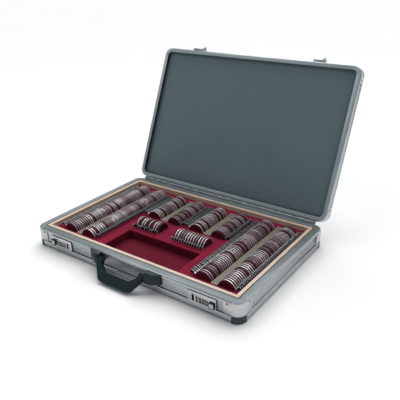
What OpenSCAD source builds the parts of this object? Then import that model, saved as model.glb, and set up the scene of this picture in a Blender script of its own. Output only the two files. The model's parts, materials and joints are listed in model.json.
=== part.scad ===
// Trial lens set: an aluminium attache case with a wood-lined base, a flocked tray,
// racks of rimmed trial lenses, two combination locks, a folding handle and a hinged lid.
// Frame: origin on the table under the centre of the case, X to the right along the front,
// Y from the front to the hinge, Z up. Millimetres.

/* [Case] */
// Outside width of the case
case_w = 530; // [520:1:545]
// Outside depth of the case
case_d = 344; // [338:1:352]
// Top of the base rim above the table
base_h = 44.8; // [44:0.1:47]
// Height of the lid from its rim to its top
lid_h = 25.3; // [24:0.1:30]
// Radius of the case's upright corners
corner_r = 20; // [19:0.5:22]
// Angle that the lid is open at rest
open_angle = 113.7; // [95:0.1:115]
// Height of the corner feet's tops above the table
foot_h = 15; // [13:0.5:15]

/* [Lenses] */
// Outside diameter of a lens rim
rim_d = 38; // [37:0.5:38]
// Clear diameter inside a lens rim
rim_bore_d = 32.8; // [30:0.2:33]
// Thickness of a lens rim
rim_t = 1.8; // [1.8:0.1:2.6]
// Distance from one lens to the next in a column
lens_pitch = 6; // [5.8:0.1:6]
// Distance from one lens to the next in an accessory row
accessory_pitch = 6.6; // [6:0.1:6.8]
// Number of lenses in a long column
long_count = 42; // [10:1:42]
// Number of lenses in a short column
short_count = 17; // [5:1:17]
// Angle that a lens handle rises above the tray
tab_angle = 20; // [18:1:24]

/* [Tray] */
// Top of the flocked tray above the table
tray_top = 34; // [33.5:0.1:37]
// Depth of the recess for the trial frame
recess_depth = 19; // [14:0.5:20]
// Back edge of the recess, measured from the centre
recess_back = -56; // [-70:1:-54]

/* [Handle] */
// Angle that the handle droops below level at rest
handle_droop = 50; // [30:1:50]
// Distance from the handle's pivot to the outer edge of its grip
handle_reach = 39; // [34:1:39]
// Thickness of the handle
handle_t = 11.5; // [9:0.5:11.5]

/* [Hidden] */
$fn = 48;
EPS = 0.01;

// frame extrusion
wall = 2;               // thickness of its outer wall
band_set = 0.8;         // how far its decorative band is set back
rail_bottom = 3;        // underside of the base extrusion
band_low = 17.2;        // base band, lower edge
band_high = 37.4;       // base band, upper edge
bead_r = 3.6;           // rounding of the rim's outer edge
top_flange = 14.9;      // width of the base's top flange
groove_in = 2;          // depth of the groove under the band
flange_t = 1.6;         // thickness of every flange
bottom_flange = 14;
cover_t = 0.4;          // how far the corner covers stand proud
cover_wing = 16;        // length of a corner cover's wing along the rail
panel_t = 2.8;

// wood liner
liner_gap = 17.1;       // from the case's outside to the liner
liner_t = 7.4;
joint_gap = 0.05;       // at the butt joints between two boards
liner_top = base_h;

// lid, described closed
lid_z = base_h + 0.6;
lid_rim_flange = 10;
lid_top_flange = 16;
lid_bead_r = 3.2;
lining_set = 8.6;       // from the lid's rim to its padded lining
hinge_y = case_d / 2 + 3.7;
hinge_z = base_h + 1.2;
hinge_half = case_w / 2 - corner_r - 1;
knuckle_r = 2.5;
hinge_pin_r = 1.2;
running_gap = 0.05;     // radial clearance of a running fit
knuckles = 20;
leaf_t = 1.2;
leaf_set = 1.5;         // from the hinge axis to a leaf's plain edge
knuckle_gap = 0.3;

// tray, racks and lenses
tray_low = rail_bottom + flange_t + panel_t;
liner_in_x = case_w / 2 - liner_gap - liner_t;
liner_in_y = case_d / 2 - liner_gap - liner_t;
rack_low = 10;
rack_half = rim_d / 2 + 1.6;
rack_end = 4.5;         // from the end lens to the rack's end
slot_gap = 0.4;         // clearance round a rim in its slot
slot_t = rim_t + 0.6;
lens_z = tray_top - 3.1;
ridge_r = rim_d / 2 - 1;
recess_front = -liner_in_y + 9.5;
recess_x = [-92.5, 99];
tab_neck = rim_d / 2 + 4;
tab_reach = 31.5;
tab_neck_w = 4.4;
tab_head_w = 7;
glass_t = 1.5;

// columns: centre line, side of the lens handles, first lens, number of lenses
long_y = -125;
short_y = 22;
COLUMNS = [
    [-201, -1, long_y, long_count], [-148.5, 1, long_y, long_count],
    [-84.5, -1, short_y, short_count], [-27.5, 1, short_y, short_count],
    [33.5, -1, short_y, short_count], [90.5, 1, short_y, short_count],
    [154.5, -1, long_y, long_count], [207, 1, long_y, long_count]
];
// accessory rows: first lens, number of lenses
ROWS = [[-89.5, 10], [17.5, 12]];
row_y = -17.5;
strip_t = 0.8;
// label strips: centre line, width, front end
STRIPS = [[-174.75, 13, -131], [-56, 17, 17.5], [62, 17, 17.5], [180.75, 13, -131]];
strip_back = liner_in_y - 12;

// locks, described for the right one
plate_x = [152.5, 214.5];
plate_z = [15.2, 37.2];
plate_y = [-case_d / 2 - 1.2, -case_d / 2 + band_set];
case_x = [153.7, 213.3];
case_z = [15.8, 36.6];
case_back = -case_d / 2 + 14.4;
case_t = 0.8;
dial_r = 6.2;
dial_w = 5.4;
dial_pitch = 7;
dial_x = 180.2;
dial_y = -case_d / 2 + 4;
dial_z = 23;
axle_r = 1.2;
cheek_x = [176, 197.4];  // inner cheeks that hold the dial axle, left edges
cheek_t = 1.1;
cheek_z = [16, 30];
slot_x = 164.5;
slot_w = 5.2;
slot_z = [17, 30.6];
marker_x = [170.6, 175.4];
marker_z = [16.8, 29.2];
marker_t = 1;
bolt_y = [-case_d / 2 + 1.8, -case_d / 2 + 4.6];
bolt_z = [32.2, 34.8];
nose_z = [23.5, 26.5];
bolt_finger_x = [166.9, 169.9];
bolt_nose_x = 161;
stem_x = [200.5, 205.5];
stem_z = [19.8, 26.2];
button_w = 12;
button_proud = 4;
bolt_travel = 5.6;

// hasps, described latched on the right lock
hasp_y = -case_d / 2 - 3.7;
hasp_z = base_h + 5.7;
hasp_barrel_r = 2.2;
hasp_pin_r = 1;
hasp_half = 15;
hasp_tongue_half = 5;
hasp_arm_y = [-case_d / 2 - 3.1, -case_d / 2 - 1.5];
hasp_shoulder = 40;
hasp_tip = 17;
hook_r = [21, 31.5];
hook_half = 1.8;
hook_angle = 25;
hasp_knuckle = 5;       // length of each end knuckle

// handle
pivot_y = -case_d / 2 - 11.5;
pivot_z = 33.8;
handle_pin_r = 2.5;
bracket_x = [60.5, 92];
bracket_z = [22, 44.4];
bracket_front = pivot_y - 4.5;
bracket_end = -case_d / 2 - 4;
bracket_r = 3;
bracket_bore = 8;       // depth of the pin's hole in a bracket
arm_out = 59.5;
arm_in = 48;
grip_half = 43.5;
grip_in = 18;
window_half = 33.5;
grip_corner = 13;

// ---------- general shapes ----------

function arc(c, r, a0, a1, n = 6) =
    [for (i = [0:n]) let (a = a0 + (a1 - a0) * i / n) c + r * [cos(a), sin(a)]];

// a box between two corners
module span(x, y, z)
    translate([x[0], y[0], z[0]]) cube([x[1] - x[0], y[1] - y[0], z[1] - z[0]]);

// a profile of [inward, up] points, drawn along a wall that faces -Y
module along_x(length)
    rotate([90, 0, 90]) linear_extrude(length, center = true) children();

// the four straight rails between the corners
module four_rails()
    for (k = [0:3])
        rotate(90 * k)
            translate([0, -(k % 2 == 0 ? case_d : case_w) / 2, 0])
                along_x((k % 2 == 0 ? case_w : case_d) - 2 * corner_r) children();

// children at each corner of the case, with the corner's own centre at the origin
module four_corners()
    for (sx = [-1, 1], sy = [-1, 1])
        scale_sign(sx, sy)
            translate([case_w / 2 - corner_r, case_d / 2 - corner_r, 0]) children();

module scale_sign(sx, sy)
    mirror([sx < 0 ? 1 : 0, 0, 0]) mirror([0, sy < 0 ? 1 : 0, 0]) children();

// a plate with rounded corners, inset from the case's outside
module rounded_plate(inset, z0, z1) {
    x = case_w / 2 - inset;
    y = case_d / 2 - inset;
    r = corner_r - inset;
    translate([0, 0, z0]) linear_extrude(z1 - z0) union() {
        square([2 * x, 2 * (y - r)], center = true);
        square([2 * (x - r), 2 * y], center = true);
        for (sx = [-1, 1], sy = [-1, 1])
            translate([sx * (x - r), sy * (y - r)]) circle(r);
    }
}

// everything on the lid is drawn closed and then opened about the hinge
module opened()
    translate([0, hinge_y, hinge_z]) rotate([-open_angle, 0, 0])
        translate([0, -hinge_y, -hinge_z]) children();

// the right-hand lock's parts, mirrored for the left one
module lock_side(side)
    mirror([side < 0 ? 1 : 0, 0, 0]) children();

// ---------- base ----------

function base_profile() = concat(
    [[1.2, rail_bottom], [0, rail_bottom + 1.2], [0, band_low - 2.4],
     [groove_in, band_low - 2], [groove_in, band_low - 0.2], [band_set, band_low],
     [band_set, band_high], [0, band_high + 0.4]],
    arc([bead_r, base_h - bead_r], bead_r, 180, 90),
    [[top_flange, base_h], [top_flange, base_h - flange_t],
     [bead_r + 0.8, base_h - flange_t], [band_set + wall, base_h - bead_r],
     [band_set + wall, rail_bottom + flange_t],
     [bottom_flange, rail_bottom + flange_t], [bottom_flange, rail_bottom]]);

module base_rails() color("silver") difference() {
    four_rails() polygon(base_profile());
    for (s = [-1, 1]) lock_side(s)
        span(case_x + [-0.2, 0.2], [-case_d / 2 - 1, -case_d / 2 + 6],
             case_z + [-0.2, 0.2]);
}

// the opening inside the base's top flange
module rim_opening()
    translate([0, 0, base_h])
        cube([case_w - 2 * top_flange, case_d - 2 * top_flange, 10], center = true);

function base_corner_section() = concat(
    [[0, base_h - flange_t], [corner_r - wall, base_h - flange_t],
     [corner_r - wall, foot_h], [corner_r - 0.6, foot_h],
     [corner_r + cover_t, foot_h + 1]],
    arc([corner_r + cover_t - bead_r, base_h - bead_r], bead_r, 0, 90),
    [[0, base_h]]);

module base_corners() color("gainsboro") difference() {
    union() {
        four_corners() rotate_extrude(angle = 90) polygon(base_corner_section());
        for (sx = [-1, 1]) {
            for (sy = [-1, 1]) scale_sign(sx, sy)
                span([case_w / 2, case_w / 2 + cover_t],
                     [case_d / 2 - corner_r - cover_wing, case_d / 2 - corner_r + EPS],
                     [band_low, base_h - bead_r]);
            scale_sign(sx, -1)
                span([case_w / 2 - corner_r - cover_wing, case_w / 2 - corner_r + EPS],
                     [case_d / 2, case_d / 2 + cover_t], [band_low, base_h - bead_r]);
        }
    }
    rim_opening();
}

module corner_feet() color("black") four_corners()
    rotate_extrude(angle = 90) polygon([
        [8, 0.8], [9, 0], [corner_r - 0.8, 0], [corner_r + cover_t, 1.2],
        [corner_r + cover_t, foot_h - 0.6], [corner_r - 0.2, foot_h],
        [corner_r - panel_t + 0.2, foot_h],
        [corner_r - panel_t + 0.2, rail_bottom + flange_t],
        [8, rail_bottom + flange_t]]);

module base_panel() color("darkgray")
    rounded_plate(band_set + wall, rail_bottom + flange_t, tray_low);

module wood_liner() color("burlywood") for (s = [-1, 1]) {
    x = case_w / 2 - liner_gap;
    y = case_d / 2 - liner_gap;
    scale_sign(1, s) span([-x, x], [liner_in_y, y], [tray_low, liner_top]);
    scale_sign(s, 1) span([liner_in_x, x], [-liner_in_y + joint_gap, liner_in_y - joint_gap],
                          [tray_low, liner_top]);
}

// ---------- tray, racks and strips ----------

function column_end(c) = c[2] + (c[3] - 1) * lens_pitch;
function row_end(r) = r[0] + (r[1] - 1) * accessory_pitch;

// the block that a rack fills, as a pocket of the tray or as the rack's own body
module column_block(c, z1)
    span([c[0] - rack_half, c[0] + rack_half],
         [c[2] - rack_end, column_end(c) + rack_end], [rack_low, z1]);

module row_block(r, z1)
    span([r[0] - rack_end, row_end(r) + rack_end],
         [row_y - rack_half, row_y + rack_half], [rack_low, z1]);

module lens_tray() color("crimson") difference() {
    span([-liner_in_x, liner_in_x], [-liner_in_y, liner_in_y], [tray_low, tray_top]);
    span(recess_x, [recess_front, recess_back],
         [tray_top - recess_depth, tray_top + 1]);
    for (c = COLUMNS) column_block(c, tray_top + 1);
    for (r = ROWS) row_block(r, tray_top + 1);
}

// the U-shaped opening that one lens drops into, flat in XY with its handle side free
module slot_outline() {
    circle(rim_d / 2 + slot_gap);
    translate([-rim_d / 2 - slot_gap, 0]) square([rim_d + 2 * slot_gap, rim_d]);
}

module lens_racks() color("firebrick") {
    for (c = COLUMNS) difference() {
        union() {
            column_block(c, tray_top);
            translate([c[0], c[2] - rack_end + 1, lens_z]) rotate([-90, 0, 0])
                cylinder(r = ridge_r, h = column_end(c) - c[2] + 2 * rack_end - 2);
        }
        for (i = [0:c[3] - 1])
            translate([c[0], c[2] + i * lens_pitch, lens_z]) rotate([90, 0, 0])
                linear_extrude(slot_t, center = true) slot_outline();
    }
    for (r = ROWS) difference() {
        union() {
            row_block(r, tray_top);
            translate([r[0] - rack_end + 1, row_y, lens_z]) rotate([0, 90, 0])
                cylinder(r = ridge_r, h = row_end(r) - r[0] + rack_end - 1);
        }
        for (i = [0:r[1] - 1])
            translate([r[0] + i * accessory_pitch, row_y, lens_z]) rotate([90, 0, 90])
                linear_extrude(slot_t, center = true) slot_outline();
    }
}

module label_strips() color("darkkhaki")
    for (s = STRIPS)
        span([s[0] - s[1] / 2, s[0] + s[1] / 2], [s[2], strip_back],
             [tray_top, tray_top + strip_t]);

// ---------- lenses ----------

// one rim with its handle, flat in XY, the handle rising on the +X side
module rim_outline() difference() {
    union() {
        circle(rim_d / 2);
        rotate(tab_angle) {
            translate([rim_bore_d / 2 + 1, -tab_neck_w / 2])
                square([tab_neck - rim_bore_d / 2, tab_neck_w]);
            translate([tab_neck, -tab_head_w / 2])
                square([tab_reach - tab_neck - tab_head_w / 2, tab_head_w]);
            translate([tab_reach - tab_head_w / 2, 0]) circle(tab_head_w / 2);
        }
    }
    circle(rim_bore_d / 2);
}

module column_of(c)
    for (i = [0:c[3] - 1])
        translate([c[0], c[2] + i * lens_pitch, lens_z])
            mirror([c[1] < 0 ? 1 : 0, 0, 0]) rotate([90, 0, 0]) children();

module row_of(r)
    for (i = [0:r[1] - 1])
        translate([r[0] + i * accessory_pitch, row_y, lens_z]) rotate([90, 0, -90]) children();

module one_rim() linear_extrude(rim_t, center = true) rim_outline();
module one_glass() cylinder(r = rim_bore_d / 2 - running_gap, h = glass_t, center = true);

module column_rims(n) color("silver") column_of(COLUMNS[n - 1]) one_rim();
module column_glass(n) color("lightcyan") column_of(COLUMNS[n - 1]) one_glass();
module row_rims(n) color("silver") row_of(ROWS[n - 1]) one_rim();
module row_glass(n) color("lightcyan") row_of(ROWS[n - 1]) one_glass();

// ---------- hinge ----------

// one leaf, with every second knuckle; up is 1 for the lid's leaf and -1 for the base's
module hinge_leaf(up, first, height) difference() {
    step = 2 * hinge_half / knuckles;
    union() {
        mirror([0, 0, up < 0 ? 1 : 0])
            span([-hinge_half, hinge_half], [-3.7, -3.7 + leaf_t], [leaf_set, height]);
        for (i = [first:2:knuckles - 1])
            translate([-hinge_half + i * step + knuckle_gap / 2, 0, 0]) {
                rotate([0, 90, 0]) cylinder(r = knuckle_r, h = step - knuckle_gap);
                mirror([0, 0, up < 0 ? 1 : 0])
                    span([0, step - knuckle_gap], [-3.7, -hinge_pin_r - 0.4], [0, leaf_set + EPS]);
            }
    }
    translate([-hinge_half - 1, 0, 0]) rotate([0, 90, 0])
        cylinder(r = hinge_pin_r + running_gap, h = 2 * hinge_half + 2);
}

module at_hinge() translate([0, hinge_y, hinge_z]) children();

module hinge_leaf_base() color("slategray") at_hinge() hinge_leaf(-1, 0, 17);
module hinge_leaf_lid() color("slategray") opened() at_hinge() hinge_leaf(1, 1, 15);
module hinge_pin() color("gray") at_hinge() translate([-hinge_half, 0, 0])
    rotate([0, 90, 0]) cylinder(r = hinge_pin_r, h = 2 * hinge_half);

// ---------- lid ----------

function lid_profile() = concat(
    arc([lid_bead_r, lid_z + lid_bead_r], lid_bead_r, 270, 180),
    [[0, lid_z + 6.8], [band_set, lid_z + 7.2], [band_set, lid_z + lid_h - 6.7],
     [0, lid_z + lid_h - 6.3]],
    arc([lid_bead_r, lid_z + lid_h - lid_bead_r], lid_bead_r, 180, 90),
    [[lid_top_flange, lid_z + lid_h], [lid_top_flange, lid_z + lid_h - flange_t],
     [lid_bead_r + 0.8, lid_z + lid_h - flange_t], [band_set + wall, lid_z + lid_h - lid_bead_r],
     [band_set + wall, lid_z + lid_bead_r], [lid_bead_r + 0.8, lid_z + flange_t],
     [lid_rim_flange, lid_z + flange_t], [lid_rim_flange, lid_z]]);

function on_corner(profile, proud) =
    [for (p = profile) [corner_r - p[0] + (p[0] < band_set + EPS ? proud : 0), p[1]]];

module lid_rails() color("silver") opened() four_rails() polygon(lid_profile());

module lid_corners() color("gainsboro") opened() {
    four_corners() rotate_extrude(angle = 90) polygon(on_corner(lid_profile(), cover_t));
    for (sx = [-1, 1]) {
        for (sy = [-1, 1]) scale_sign(sx, sy)
            span([case_w / 2, case_w / 2 + cover_t],
                 [case_d / 2 - corner_r - cover_wing, case_d / 2 - corner_r],
                 [lid_z + lid_bead_r, lid_z + lid_h - lid_bead_r]);
        scale_sign(sx, -1)
            span([case_w / 2 - corner_r - cover_wing, case_w / 2 - corner_r],
                 [case_d / 2, case_d / 2 + cover_t],
                 [lid_z + lid_bead_r, lid_z + lid_h - lid_bead_r]);
    }
}

lid_panel_low = lid_z + lid_h - flange_t - 2;

module lid_panel() color("darkgray") opened()
    rounded_plate(4.2, lid_panel_low, lid_z + lid_h - flange_t);

module lid_lining() color("darkslategray") opened()
    rounded_plate(4.2, lid_z + lining_set, lid_panel_low);

// ---------- rivets ----------

rivet_r = 2.2;
rivet_h = 0.9;
base_rivet_z = 37.5;
lid_rivet_z = lid_z + lid_h / 2;
wing_middle = corner_r + cover_wing * 0.55;
leaf_rivets = 12;

// one rivet head on the front or the side face of a corner cover
module front_rivet(x, y, z)
    translate([x, y, z]) rotate([90, 0, 0]) cylinder(r = rivet_r, h = rivet_h);
module side_rivet(x, y, z)
    translate([x, y, z]) rotate([0, 90, 0]) cylinder(r = rivet_r, h = rivet_h);

module cover_rivets(z) {
    for (s = [-1, 1]) {
        front_rivet(s * (case_w / 2 - wing_middle), -case_d / 2 - cover_t, z);
        for (k = [-1, 1]) mirror([s < 0 ? 1 : 0, 0, 0])
            side_rivet(case_w / 2 + cover_t, k * (case_d / 2 - wing_middle), z);
    }
}

// the row of flat-headed rivets through a hinge leaf
module hinge_rivets(z)
    for (i = [0:leaf_rivets - 1])
        translate([-hinge_half + (i + 0.5) * 2 * hinge_half / leaf_rivets,
                   case_d / 2 + leaf_t, z])
            rotate([-90, 0, 0]) cylinder(r = 2, h = 0.6);

module base_rivets() color("gray") {
    cover_rivets(base_rivet_z);
    hinge_rivets(hinge_z - 11);
}

module lid_rivets() color("gray") opened() {
    cover_rivets(lid_rivet_z);
    hinge_rivets(hinge_z + 9);
}

// ---------- hasps ----------

module hasp_barrel(x0, x1)
    translate([x0, hasp_y, hasp_z]) rotate([0, 90, 0]) cylinder(r = hasp_barrel_r, h = x1 - x0);

module hasp_bore(r, x0, x1)
    translate([x0, hasp_y, hasp_z]) rotate([0, 90, 0]) cylinder(r = r, h = x1 - x0);

hasp_x = [slot_x - hasp_half, slot_x + hasp_half];

// the plate on the lid, with its end knuckles and the pin between them
module hasp_plates() color("gainsboro") opened() for (s = [-1, 1]) lock_side(s) {
    span(hasp_x, [-case_d / 2 - 1.2, -case_d / 2], [lid_z + lid_bead_r, lid_z + 18]);
    for (x = [hasp_x[0], hasp_x[1] - hasp_knuckle]) {
        hasp_barrel(x, x + hasp_knuckle);
        span([x, x + hasp_knuckle], [hasp_y, -case_d / 2 - 1], [hasp_z - 1.4, hasp_z + 1.4]);
    }
    hasp_bore(hasp_pin_r, hasp_x[0], hasp_x[1]);
}

// the hasp latched: a knuckle, a tongue and a hook that curves about the pin
module hasp_closed() difference() {
    union() {
        hasp_barrel(hasp_x[0] + hasp_knuckle + knuckle_gap, hasp_x[1] - hasp_knuckle - knuckle_gap);
        span([hasp_x[0] + hasp_knuckle + knuckle_gap, hasp_x[1] - hasp_knuckle - knuckle_gap],
             hasp_arm_y, [hasp_shoulder, hasp_z]);
        span([slot_x - hasp_tongue_half, slot_x + hasp_tongue_half], hasp_arm_y,
             [hasp_tip, hasp_shoulder + EPS]);
        translate([slot_x - hook_half, hasp_y, hasp_z]) rotate([90, 0, 90])
            linear_extrude(2 * hook_half) intersection() {
                difference() {
                    circle(hook_r[1], $fn = 96);
                    circle(hook_r[0], $fn = 96);
                }
                polygon([[1, -10], [1, -50], [50 * sin(hook_angle), -50 * cos(hook_angle)],
                         [10 * sin(hook_angle), -10 * cos(hook_angle)]]);
            }
    }
    hasp_bore(hasp_pin_r + running_gap, hasp_x[0], hasp_x[1]);
    span([slot_x - 3, slot_x + 3], bolt_y + [-0.4, 0.4], nose_z + [-0.4, 0.4]);
}

// at rest a hasp is folded back against the lid
module hasp(s) color("gainsboro") opened() lock_side(s)
    translate([0, hasp_y, hasp_z]) rotate([180, 0, 0]) translate([0, -hasp_y, -hasp_z])
        hasp_closed();

// ---------- locks ----------

module lock_case(s) color("lightgray") lock_side(s) difference() {
    union() {
        span(plate_x, plate_y, plate_z);
        span(case_x, [plate_y[1] - EPS, case_back], case_z);
    }
    difference() {
        span(case_x + [case_t, -case_t], [plate_y[1], case_back - case_t],
             case_z + [case_t, -case_t]);
        for (x = cheek_x) span([x, x + cheek_t], [plate_y[1] - 1, case_back], cheek_z);
    }
    translate([cheek_x[0] - 1, dial_y, dial_z]) rotate([0, 90, 0])
        cylinder(r = axle_r + running_gap, h = cheek_x[1] + cheek_t + 2 - cheek_x[0]);
    span([slot_x - slot_w / 2, slot_x + slot_w / 2], [plate_y[0] - 1, plate_y[1] + 1], slot_z);
    span(marker_x, [plate_y[0] - 1, plate_y[0] + marker_t], marker_z);
    for (i = [0:2])
        span([dial_x + i * dial_pitch - dial_w / 2 - 0.3, dial_x + i * dial_pitch + dial_w / 2 + 0.3],
             [plate_y[0] - 1, plate_y[1] + 1], [dial_z - 5.7, dial_z + 5.7]);
    span([stem_x[0] - 0.4, stem_x[1] + bolt_travel + 0.4], [plate_y[0] - 1, plate_y[1] + 1],
         stem_z + [-0.4, 0.4]);
}

module lock_axles() color("gray") for (s = [-1, 1]) lock_side(s)
    translate([cheek_x[0], dial_y, dial_z]) rotate([0, 90, 0])
        cylinder(r = axle_r, h = cheek_x[1] + cheek_t - cheek_x[0]);

module lock_markers() color("red") for (s = [-1, 1]) lock_side(s)
    span(marker_x, [plate_y[0], plate_y[0] + marker_t], marker_z);

module dial(s, n) color("dimgray") lock_side(s)
    translate([dial_x + (n - 1) * dial_pitch, dial_y, dial_z]) rotate([0, 90, 0]) difference() {
        cylinder(r = dial_r, h = dial_w, center = true);
        cylinder(r = axle_r + running_gap, h = dial_w + 1, center = true);
    }

module button(s) color("black") lock_side(s) {
    span([stem_x[0], stem_x[0] + button_w], [plate_y[0] - button_proud, plate_y[0] - 0.3],
         [dial_z - button_w / 2, dial_z + button_w / 2]);
    span(stem_x, [plate_y[0] - 0.3 - EPS, bolt_y[0] + EPS], stem_z);
    span(stem_x, bolt_y, [stem_z[0], bolt_z[1]]);
}

module latch_bolt(s) color("gray") lock_side(s) {
    span([bolt_finger_x[0], stem_x[0]], bolt_y, bolt_z);
    span(bolt_finger_x, bolt_y, [nose_z[0], bolt_z[1]]);
    span([bolt_nose_x, bolt_finger_x[0] + EPS], bolt_y, nose_z);
}

// ---------- handle ----------

// a wedge in plan, deepest beside the handle, with its upper front edge sloped
module handle_bracket(s) color("darkslategray") lock_side(s) difference() {
    intersection() {
        translate([bracket_x[0], 0, 0]) rotate([90, 0, 90])
            linear_extrude(bracket_x[1] - bracket_x[0]) polygon(concat(
                [[-case_d / 2, bracket_z[1]], [bracket_front + 4, bracket_z[1]],
                 [bracket_front, bracket_z[1] - 7]],
                arc([bracket_front + bracket_r, bracket_z[0] + bracket_r], bracket_r, 180, 270),
                [[-case_d / 2, bracket_z[0]]]));
        linear_extrude(80) polygon(concat(
            [[bracket_x[0] - 1, -case_d / 2 + 1], [bracket_x[0] - 1, bracket_front - 1],
             [bracket_x[0] + 5, bracket_front - 1]],
            arc([bracket_x[1] - bracket_r, bracket_end + bracket_r], bracket_r, -64, 0),
            [[bracket_x[1], -case_d / 2 + 1]]));
    }
    translate([bracket_x[0] - 1, pivot_y, pivot_z]) rotate([0, 90, 0])
        cylinder(r = handle_pin_r, h = bracket_bore + 1);
}

module handle_pins() color("gray") for (s = [-1, 1]) lock_side(s)
    translate([arm_in + 1, pivot_y, pivot_z]) rotate([0, 90, 0])
        cylinder(r = handle_pin_r, h = bracket_x[0] + bracket_bore - arm_in - 1);

// the right half of the handle's outline, with its pivot line along y = 0 and its grip below
function handle_half() =
    let (arm_mid = (arm_out + arm_in) / 2,
         slope = atan2(arm_out - grip_half, handle_reach - grip_corner - 6))
    concat(
        arc([grip_half - grip_corner, -handle_reach + grip_corner], grip_corner, -90, -slope, 8),
        [[arm_out, -6]],
        arc([arm_mid, 0], arm_out - arm_mid, 0, 180, 14),
        [[arm_in, -6], [window_half, -grip_in]]);

module handle_outline() {
    right = handle_half();
    left = [for (i = [len(right) - 1:-1:0]) [-right[i][0], right[i][1]]];
    polygon(concat(right, left));
}

module handle() color("darkslategray")
    translate([0, pivot_y, pivot_z]) difference() {
        rotate([handle_droop, 0, 0]) linear_extrude(handle_t, center = true) handle_outline();
        for (s = [-1, 1]) translate([s * (arm_out + arm_in) / 2, 0, 0]) rotate([0, 90, 0])
            cylinder(r = handle_pin_r + running_gap, h = arm_out - arm_in + 4, center = true);
    }

base_rails();
base_corners();
corner_feet();
base_panel();
wood_liner();
lens_tray();
lens_racks();
label_strips();
hinge_leaf_base();
hinge_leaf_lid();
hinge_pin();
base_rivets();
lid_rivets();
lid_rails();
lid_corners();
lid_panel();
lid_lining();
hasp_plates();
hasp(-1);  // hasp_left
hasp(1);  // hasp_right
lock_case(-1);  // lock_case_left
lock_case(1);  // lock_case_right
lock_axles();
lock_markers();
dial(-1, 1);  // dial_left_1
dial(-1, 2);  // dial_left_2
dial(-1, 3);  // dial_left_3
dial(1, 1);  // dial_right_1
dial(1, 2);  // dial_right_2
dial(1, 3);  // dial_right_3
button(-1);  // button_left
button(1);  // button_right
latch_bolt(-1);  // latch_bolt_left
latch_bolt(1);  // latch_bolt_right
handle_bracket(-1);  // handle_bracket_left
handle_bracket(1);  // handle_bracket_right
handle_pins();
handle();
column_rims(1);  // rims_1
column_rims(2);  // rims_2
column_rims(3);  // rims_3
column_rims(4);  // rims_4
column_rims(5);  // rims_5
column_rims(6);  // rims_6
column_rims(7);  // rims_7
column_rims(8);  // rims_8
row_rims(1);  // rims_a
row_rims(2);  // rims_b
column_glass(1);  // glass_1
column_glass(2);  // glass_2
column_glass(3);  // glass_3
column_glass(4);  // glass_4
column_glass(5);  // glass_5
column_glass(6);  // glass_6
column_glass(7);  // glass_7
column_glass(8);  // glass_8
row_glass(1);  // glass_a
row_glass(2);  // glass_b
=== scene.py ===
"""The looks of the trial lens set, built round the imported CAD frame. Metres, in the row frame."""

import json
import math
import random

import bmesh
import bpy
from mathutils import Matrix, Vector

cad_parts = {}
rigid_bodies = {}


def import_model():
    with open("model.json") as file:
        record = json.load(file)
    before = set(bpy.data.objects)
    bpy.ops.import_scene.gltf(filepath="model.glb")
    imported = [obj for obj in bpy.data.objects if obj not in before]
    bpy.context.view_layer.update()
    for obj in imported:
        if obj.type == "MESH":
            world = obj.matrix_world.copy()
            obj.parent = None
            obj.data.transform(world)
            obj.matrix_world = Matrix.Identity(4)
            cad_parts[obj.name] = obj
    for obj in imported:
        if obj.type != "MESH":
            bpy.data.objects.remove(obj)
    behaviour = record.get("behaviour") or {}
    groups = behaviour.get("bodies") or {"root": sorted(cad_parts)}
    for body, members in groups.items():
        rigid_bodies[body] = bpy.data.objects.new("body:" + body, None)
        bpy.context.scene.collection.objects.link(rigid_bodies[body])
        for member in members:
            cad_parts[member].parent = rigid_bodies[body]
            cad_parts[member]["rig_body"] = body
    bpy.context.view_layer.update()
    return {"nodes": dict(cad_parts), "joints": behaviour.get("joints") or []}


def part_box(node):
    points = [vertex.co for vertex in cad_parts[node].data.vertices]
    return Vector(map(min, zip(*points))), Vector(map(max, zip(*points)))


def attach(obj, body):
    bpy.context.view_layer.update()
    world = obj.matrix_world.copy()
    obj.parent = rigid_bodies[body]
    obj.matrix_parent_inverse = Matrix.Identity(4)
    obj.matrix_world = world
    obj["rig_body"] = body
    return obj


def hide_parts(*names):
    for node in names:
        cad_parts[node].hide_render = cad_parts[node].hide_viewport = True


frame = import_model()
NODES = frame["nodes"]
JOINTS = {j["name"]: j for j in frame["joints"]}
MM = 0.001

HINGE = Vector(JOINTS["lid_hinge"]["pos_m"])
OPEN_ANGLE = math.radians(-JOINTS["lid_hinge"]["range_deg"][0])
TO_OPEN = Matrix.Translation(HINGE) @ Matrix.Rotation(-OPEN_ANGLE, 4, "X") @ Matrix.Translation(-HINGE)
TO_CLOSED = TO_OPEN.inverted()


# ---------------------------------------------------------------- materials

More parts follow.
